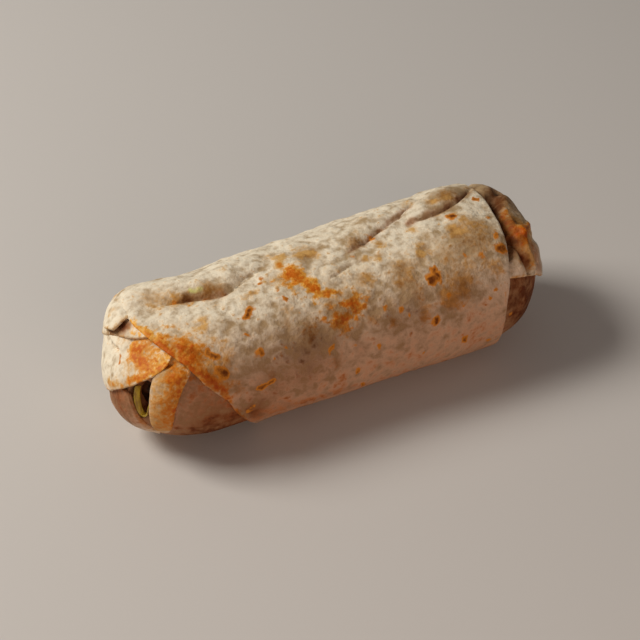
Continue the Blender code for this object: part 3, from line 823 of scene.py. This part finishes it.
def make_inner_roll(colors):
    """The roll inside the outer layer, which shows at both ends, with the mouth in its left one."""
    rings = 2 * END_RINGS + HIDDEN_RINGS
    mesh = bmesh.new()
    bmesh.ops.create_uvsphere(mesh, u_segments=INNER_COLUMNS, v_segments=rings, radius=1.0)
    ring, share = sphere_places(mesh, INNER_COLUMNS, rings)
    angle = SEAM_ANGLE + 360 * share
    left, right = outer_left(angle) + OVERLAP, outer_right(angle) - OVERLAP
    along = np.select(
        (ring <= END_RINGS, ring <= END_RINGS + HIDDEN_RINGS),
        (mix(-TIP_ALONG, left, ring / END_RINGS), mix(left, right, (ring - END_RINGS) / HIDDEN_RINGS)),
        mix(right, TIP_ALONG, (ring - END_RINGS - HIDDEN_RINGS) / END_RINGS),
    )
    hidden = ease(np.minimum(along - left, right - along) / (3 * MM) + 1)
    skin = skin_point(along, angle)
    back, up = chart(along, angle)
    opened = mouth(skin, back, up) * (along < 0)
    fold_edge = np.maximum(-4 * MM, 1.1 * MM - 1.04 * (back + 21.8 * MM))
    covered = ease((up - fold_edge) / (3 * MM) - 1) * (along > 0)
    height = roll_height(along, angle) + 0.8 * relief(skin, angle, 17) - 10 * MM * opened
    height -= COVERED_DROP * np.maximum(hidden, covered)
    move_to(mesh, raised(along, angle, height))
    worn = frayed(skin)
    return make_tortilla(
        "inner_roll", mesh, colors,
        char=marked(worn, [end_spot(RIGHT, -46, -2, 1.4, 0.8), end_spot(LEFT, -16, -8, 1.2, 0.6)]),
        grease=marked(worn, INNER_GREASE),
        toast=np.full(len(skin), 0.2),
        # Painted shade: the inner roll is darker all over, and darker still at its lower ends and underside.
        damp=marked(worn, INNER_DAMP),
        soak=np.maximum(0.5 + marked(worn, INNER_SOAK), soaked(angle)),
    )


def fold_sheet(columns, rows):
    """A closed sheet over a unit square, with its lower face one unit down."""
    mesh = bmesh.new()
    bmesh.ops.create_grid(mesh, x_segments=columns, y_segments=rows, size=0.5)
    walls = bmesh.ops.extrude_face_region(mesh, geom=mesh.faces[:])
    for vert in walls["geom"]:
        if isinstance(vert, bmesh.types.BMVert):
            vert.co.z = -1.0
    return mesh


def make_fold(name, side, tucked, free, height, colors, seed, marks, furrows=(), thickness=2.0, columns=130,
              rows=90, rounding=0.09, floury=0.0):
    """A fold of the tortilla laid over an end, from its tucked edge to its free one.

    The edges are Bezier curves on the chart of the end, in millimetres. height gives how far the fold's
    outer face stands over the skin, at shares of the way along its edges and from tucked to free.
    rounding says how much the free corners are rounded off, and floury how dry the fold looks.
    """
    mesh = fold_sheet(columns, rows)
    places = coordinates(mesh)
    across, down = places[:, 0] + 0.5, 1 - (0.5 - places[:, 1]) ** FREE_CROWDING
    down, across = (
        down * (1 - rounding * np.abs(2 * across - 1) ** 6),
        0.5 + (across - 0.5) * (1 - rounding * down**6),
    )
    start, end = bezier(tucked, across), bezier(free, across)
    reach = np.linalg.norm(end - start, axis=1)
    width = np.linalg.norm(np.diff(bezier(free, np.linspace(0, 1, 30)), axis=0), axis=1).sum()
    to_free, off_middle = (0.5 - places[:, 1]) ** FREE_CROWDING, 2 * np.abs(places[:, 0])
    edge = np.minimum(to_free * reach, (1 - off_middle) / 2 * width)
    ragged = 0.5 * field(np.stack((across * width, down * 0, down * 0), 1), 5.0, 2, seed)
    laid = start + (end - start) * (down + ragged / reach * ease(down * 2 - 1))[:, None]
    along, angle = on_end(side, laid[:, 0] * MM, laid[:, 1] * MM)
    skin = skin_point(along, angle)
    swell = np.sqrt(1 - (1 - np.clip(edge / (thickness / 2), 0, 1)) ** 2)
    level = np.where(places[:, 2] < 0, -swell, swell)
    over = height(across, down) + furrowed(laid[:, 0], laid[:, 1], furrows) + thickness / 2 * (level - 1)
    move_to(mesh, raised(along, angle, over * MM + relief(skin, angle, 3.0 * seed)))
    worn = frayed(skin)
    fields = {kind.lower(): marked(worn, marks.get(kind.lower(), [])) for kind in KINDS}
    # Painted warm shade on the lower front of every fold.
    fields["soak"] = np.maximum(fields["soak"], 0.4 * soaked(angle))
    fields["damp"] -= floury
    fields["toast"] = np.maximum(fields["toast"], 0.45 * bell(edge, 1.5))
    return make_tortilla(name, mesh, colors, **fields)


def lip_height(across, down):
    return 0.4 + 1.3 * ease(down * 1.6) * ease(across * 4)


def pleat_height(down, across):
    """This one runs down the corner of the end, and is rounded across."""
    rise = ease((down - 0.05) * 4.5) * (1 - 0.8 * ease((down - 0.75) * 4))
    under_envelope = ease(across * 2.5 + (down - 0.17) * 10)
    return 0.4 + 3.4 * rise * under_envelope * np.sin(np.pi * mix(0.12, 0.88, across)) ** 0.6


def envelope_height(across, down):
    wave = 0.35 * np.sin(5 * across + 4 * down)
    return 0.4 + 1.0 * ease(down * 3) + 1.5 * ease((down - 0.4) * 1.8) + wave * ease(down * 4)


def under_curl_height(_, down):
    return 1.1 + 1.3 * ease(down * 2)


def curl_height(across, down):
    """This one stands off towards its free corner, like the mouth of a pocket."""
    return 1.2 + (1.0 + 3.2 * ease(across * 2 - 0.9)) * ease(down * 1.7)


def right_fold_height(across, down):
    foot = mix(-0.6, 1.5, ease((across - 0.68) * 5))
    return mix(foot, 3.0, ease(down * 4.5 - 0.1))


def make_left_folds(colors):
    make_fold(
        "lip", LEFT, ((36, -26), (14, -44), (-12, -40), (-25, -18)), ((30, -3), (10, 3), (-5, 6), (-15, 7)),
        lip_height, colors, 3, {"damp": LIP_DAMP, "soak": LIP_SOAK},
    )
    make_fold(
        "pleat", LEFT, ((-21, 34), (-21.5, 22), (-28.5, 6), (-24.5, -16)),
        ((-36, 37), (-38, 20), (-40, 6), (-32, -16)), pleat_height, colors, 5,
        {"grease": PLEAT_GREASE, "toast": PLEAT_TOAST, "char": PLEAT_CHAR}, floury=0.1,
    )
    make_fold(
        "envelope", LEFT, ((32, 12), (16, 38), (-12, 41), (-22, 37)),
        ((24, -20), (8, -9), (-12, 4), (-27.5, 25.5)), envelope_height, colors, 8,
        {"grease": ENVELOPE_GREASE, "toast": ENVELOPE_TOAST, "char": ENVELOPE_CHAR}, ENVELOPE_FURROWS,
        columns=170, rows=130, floury=0.12,
    )
    make_fold(
        "under_curl", LEFT, ((36, 14), (18, 40), (4, 41), (-6, 38)), ((27, 4), (12, 16), (2, 24.5), (-8, 35)),
        under_curl_height, colors, 10, {"grease": HOLLOW_GREASE, "soak": HOLLOW_SOAK, "damp": HOLLOW_DAMP},
        thickness=1.4, rows=60,
    )
    make_fold(
        "curl", LEFT, ((43, 4), (38, 30), (22, 40), (4, 38)), ((32, 2), (23, 14), (14, 18), (3.5, 24.5)),
        curl_height, colors, 4, {"toast": CURL_TOAST}, thickness=1.7, rounding=0.05, floury=0.12,
    )


def make_right_fold(colors):
    make_fold(
        "right_fold", RIGHT, ((24, 34), (6, 42), (-30, 46), (-44, 24)),
        ((24, -4), (14, -10), (-8, -8), (-22, 1)), right_fold_height, colors, 10,
        {"grease": FOLD_GREASE, "toast": FOLD_TOAST, "damp": FOLD_DAMP, "soak": FOLD_SOAK}, RIGHT_FURROWS,
        columns=200, rows=150,
    )


def make_filling(colors):
    """The filling, lumpy where the mouth shows it."""
    mesh = bmesh.new()
    bmesh.ops.create_uvsphere(mesh, u_segments=FILLING_COLUMNS, v_segments=FILLING_RINGS, radius=1.0)
    ring, share = sphere_places(mesh, FILLING_COLUMNS, FILLING_RINGS)
    along, angle = TIP_ALONG * (2 * ring / FILLING_RINGS - 1), 360 * share
    along = along * (1.25 - 0.25 * np.abs(along) / TIP_ALONG)
    skin, normal = skin_point(along, angle), skin_normal(along, angle)
    chunks = 1.2 * MM * field(skin, 5 * MM, 3, 90) - 1.0 * MM
    points = skin + normal * (chunks - WALL)[:, None]
    points[:, 2] = np.maximum(points[:, 2], WALL)
    move_to(mesh, points)
    return make_piece("filling_core", mesh, filling_material(colors), "filling", "filling")


def make_leaf(colors):
    """A limp ribbon of pepper in the mouth, folded into a V."""
    mesh = bmesh.new()
    bmesh.ops.create_grid(mesh, x_segments=60, y_segments=8, size=0.5)
    places = coordinates(mesh)
    share, side = places[:, 0] + 0.5, places[:, 1]
    route = bezier(LEAF_ROUTE, share) * MM
    waver = 0.5 * MM * np.sin(9 * share) * side
    along, angle = on_end(LEFT, route[:, 0] + 1.2 * MM * side + waver, route[:, 1])
    move_to(mesh, raised(along, angle, LEAF_HEIGHT + 2.2 * MM * side))
    leaf = make_piece("pepper_strip", mesh, leaf_material(colors), "leaf", "pepper")
    thicken = leaf.modifiers.new("Thickness", "SOLIDIFY")
    thicken.thickness = LEAF_THICKNESS
    thicken.offset = 0
    soften_edges = leaf.modifiers.new("Smooth", "SUBSURF")
    soften_edges.levels = soften_edges.render_levels = 1
    return leaf


def add_light(name, energy, place, target, color):
    """A soft square light that shines on the target."""
    data = bpy.data.lights.new(name, "AREA")
    data.energy, data.size, data.color = energy, LIGHT_SIZE, color
    light = bpy.data.objects.new(name, data)
    bpy.context.scene.collection.objects.link(light)
    light.location = place
    light.rotation_euler = (target - Vector(place)).to_track_quat("-Z", "Y").to_euler()


def make_floor(color):
    mesh = bmesh.new()
    bmesh.ops.create_grid(mesh, x_segments=2, y_segments=2, size=4.0)
    data = bpy.data.meshes.new("floor")
    mesh.to_mesh(data)
    mesh.free()
    material, _, shader = new_material("Floor")
    shader.inputs["Base Color"].default_value = color
    shader.inputs["Roughness"].default_value = 0.6
    data.materials.append(material)
    floor = bpy.data.objects.new("floor", data)
    bpy.context.scene.collection.objects.link(floor)


def light_all_round(strength):
    world = bpy.data.worlds.new("Studio")
    world.use_nodes = True
    background = world.node_tree.nodes["Background"].inputs
    background["Color"].default_value = AMBIENT_COLOR
    background["Strength"].default_value = strength
    bpy.context.scene.world = world


def place_camera(stage, middle):
    azimuth, elevation = stage.azimuth, stage.elevation
    back = Vector((math.cos(elevation) * math.sin(azimuth), -math.cos(elevation) * math.cos(azimuth),
                   math.sin(elevation)))
    right = Vector((math.cos(azimuth), math.sin(azimuth), 0))
    up = back.cross(right)
    target = middle - AIM_LEFT * right - AIM_DOWN * up
    data = bpy.data.cameras.new("Camera")
    data.lens, data.clip_start = stage.lens, 10 * MM
    camera = bpy.data.objects.new("Camera", data)
    bpy.context.scene.collection.objects.link(camera)
    turned = Matrix((right, up, back)).transposed().to_4x4()
    camera.matrix_world = Matrix.Translation(target + back * stage.distance) @ turned
    bpy.context.scene.camera = camera


def make_stage(stage):
    """A pale floor, soft studio light and the camera."""
    bpy.context.scene.view_settings.view_transform = "Standard"
    middle = Vector((0, 0, 30 * MM))
    make_floor(stage.floor)
    light_all_round(stage.ambient)
    add_light("Key", stage.key, KEY_PLACE, middle, KEY_COLOR)
    add_light("Fill", stage.fill, FILL_PLACE, middle, FILL_COLOR)
    place_camera(stage, middle)


class BurritoShape(PropertyGroup):
    """Sizes of the tortilla."""

    sheet: FloatProperty(name="Sheet", description="Thickness of the outer layer of tortilla",
                         default=1.9 * MM, min=1 * MM, max=3 * MM, subtype="DISTANCE", unit="LENGTH")
    edge_lift: FloatProperty(name="Edge lift", description="How far the outer layer's edges stand off",
                             default=0.5 * MM, min=0, max=2 * MM, subtype="DISTANCE", unit="LENGTH")


def color_property(name, description, default):
    return FloatVectorProperty(name=name, description=description, default=(*default, 1.0), size=4, min=0,
                               max=1, subtype="COLOR")


class BurritoColors(PropertyGroup):
    """Colours of the tortilla and of what it holds."""

    pale: color_property("Pale", "Dry, floury tortilla", (0.85, 0.76, 0.595))
    dough: color_property("Dough", "Plain tortilla", (0.42, 0.29, 0.155))
    # Also the colour of painted shade in creases and hollows and on the lower front.
    damp: color_property("Damp", "Tortilla that the filling has made damp", (0.22, 0.13, 0.06))
    toast: color_property("Toast", "Tint of lightly toasted tortilla", (0.74, 0.48, 0.20))
    pore: color_property("Pore", "Pores of the tortilla", (0.44, 0.30, 0.165))
    grease: color_property("Grease", "Tint of tortilla stained by orange grease", (1.0, 0.59, 0.13))
    deep_grease: color_property("Deep grease", "Tint of the middle of a grease stain", (0.82, 0.50, 0.21))
    halo: color_property("Halo", "The rim of a charred spot", (0.58, 0.20, 0.02))
    char: color_property("Char", "The middle of a charred spot", (0.15, 0.035, 0.003))
    green: color_property("Green", "A smear of lettuce", (0.62, 0.60, 0.20))
    # Painted warm shade: multiplied in on the lower front, in hollows and grooves and over the inner roll.
    soak: color_property("Soak", "Tint of tortilla that sauce has soaked into", (0.56, 0.25, 0.13))
    sauce: color_property("Sauce", "The filling's sauce", (0.035, 0.012, 0.004))
    meat: color_property("Meat", "The filling's lumps", (0.10, 0.035, 0.012))
    pepper: color_property("Pepper", "The strip of pepper", (0.47, 0.33, 0.02))
    pepper_dark: color_property("Dark pepper", "The pepper's veins", (0.24, 0.13, 0.01))


class BurritoStage(PropertyGroup):
    """The floor, the light and the camera."""

    floor: color_property("Floor", "Colour of the floor", (0.58, 0.555, 0.53))
    key: FloatProperty(name="Key light", description="Power of the light from the upper left, at the back",
                       default=19, min=0, unit="POWER")
    fill: FloatProperty(name="Fill light", description="Power of the light from the front", default=2.0,
                        min=0, unit="POWER")
    ambient: FloatProperty(name="Ambient", description="Strength of the light from all around", default=0.12,
                           min=0)
    azimuth: FloatProperty(name="Azimuth", description="Direction that the camera looks from",
                           default=math.radians(-26), subtype="ANGLE", unit="ROTATION")
    elevation: FloatProperty(name="Elevation", description="How far the camera looks down",
                             default=math.radians(41), subtype="ANGLE", unit="ROTATION")
    lens: FloatProperty(name="Lens", description="Focal length of the camera", default=102.1, min=10,
                        unit="CAMERA")
    distance: FloatProperty(name="Distance", description="From the camera to the burrito", default=0.767,
                            min=0.3, subtype="DISTANCE", unit="LENGTH")


class BURRITO_OT_outer_layer(Operator):
    """Lay the outer layer of tortilla round the roll"""

    bl_idname = "burrito.outer_layer"
    bl_label = "Outer layer"

    def execute(self, context):
        make_outer_layer(context.scene.burrito_shape, context.scene.burrito_colors)
        return {"FINISHED"}


class BURRITO_OT_inner_roll(Operator):
    """Make the roll inside the outer layer"""

    bl_idname = "burrito.inner_roll"
    bl_label = "Inner roll"

    def execute(self, context):
        make_inner_roll(context.scene.burrito_colors)
        return {"FINISHED"}


class BURRITO_OT_left_folds(Operator):
    """Fold in the left end"""

    bl_idname = "burrito.left_folds"
    bl_label = "Left folds"

    def execute(self, context):
        make_left_folds(context.scene.burrito_colors)
        return {"FINISHED"}


class BURRITO_OT_right_fold(Operator):
    """Fold in the right end"""

    bl_idname = "burrito.right_fold"
    bl_label = "Right fold"

    def execute(self, context):
        make_right_fold(context.scene.burrito_colors)
        return {"FINISHED"}


class BURRITO_OT_filling(Operator):
    """Make the filling"""

    bl_idname = "burrito.filling"
    bl_label = "Filling"

    def execute(self, context):
        make_filling(context.scene.burrito_colors)
        return {"FINISHED"}


class BURRITO_OT_leaf(Operator):
    """Make the strip of pepper in the mouth"""

    bl_idname = "burrito.leaf"
    bl_label = "Pepper strip"

    def execute(self, context):
        make_leaf(context.scene.burrito_colors)
        return {"FINISHED"}


class BURRITO_OT_stage(Operator):
    """Set up the floor, the light and the camera"""

    bl_idname = "burrito.stage"
    bl_label = "Stage"

    def execute(self, context):
        make_stage(context.scene.burrito_stage)
        return {"FINISHED"}


STEPS = ("outer_layer", "inner_roll", "left_folds", "right_fold", "filling", "leaf", "stage")


class BURRITO_PT_panel(Panel):
    """Sizes, colours and steps of the burrito"""

    bl_idname = "BURRITO_PT_panel"
    bl_label = "Burrito"
    bl_space_type = "VIEW_3D"
    bl_region_type = "UI"
    bl_category = "Burrito"

    def draw(self, context):
        for group in ("burrito_shape", "burrito_colors", "burrito_stage"):
            settings = getattr(context.scene, group)
            box = self.layout.box()
            for name in settings.bl_rna.properties.keys():
                if name not in ("rna_type", "name"):
                    box.prop(settings, name)
        for step in STEPS:
            self.layout.operator("burrito." + step)


CLASSES = (
    BurritoShape, BurritoColors, BurritoStage, BURRITO_OT_outer_layer, BURRITO_OT_inner_roll,
    BURRITO_OT_left_folds, BURRITO_OT_right_fold, BURRITO_OT_filling, BURRITO_OT_leaf, BURRITO_OT_stage,
    BURRITO_PT_panel,
)


def register():
    for entry in CLASSES:
        bpy.utils.register_class(entry)
    bpy.types.Scene.burrito_shape = PointerProperty(type=BurritoShape)
    bpy.types.Scene.burrito_colors = PointerProperty(type=BurritoColors)
    bpy.types.Scene.burrito_stage = PointerProperty(type=BurritoStage)


def unregister():
    del bpy.types.Scene.burrito_shape
    del bpy.types.Scene.burrito_colors
    del bpy.types.Scene.burrito_stage
    for entry in reversed(CLASSES):
        bpy.utils.unregister_class(entry)


def main():
    register()
    for step in STEPS:
        getattr(bpy.ops.burrito, step)()


if __name__ == "__main__":
    main()
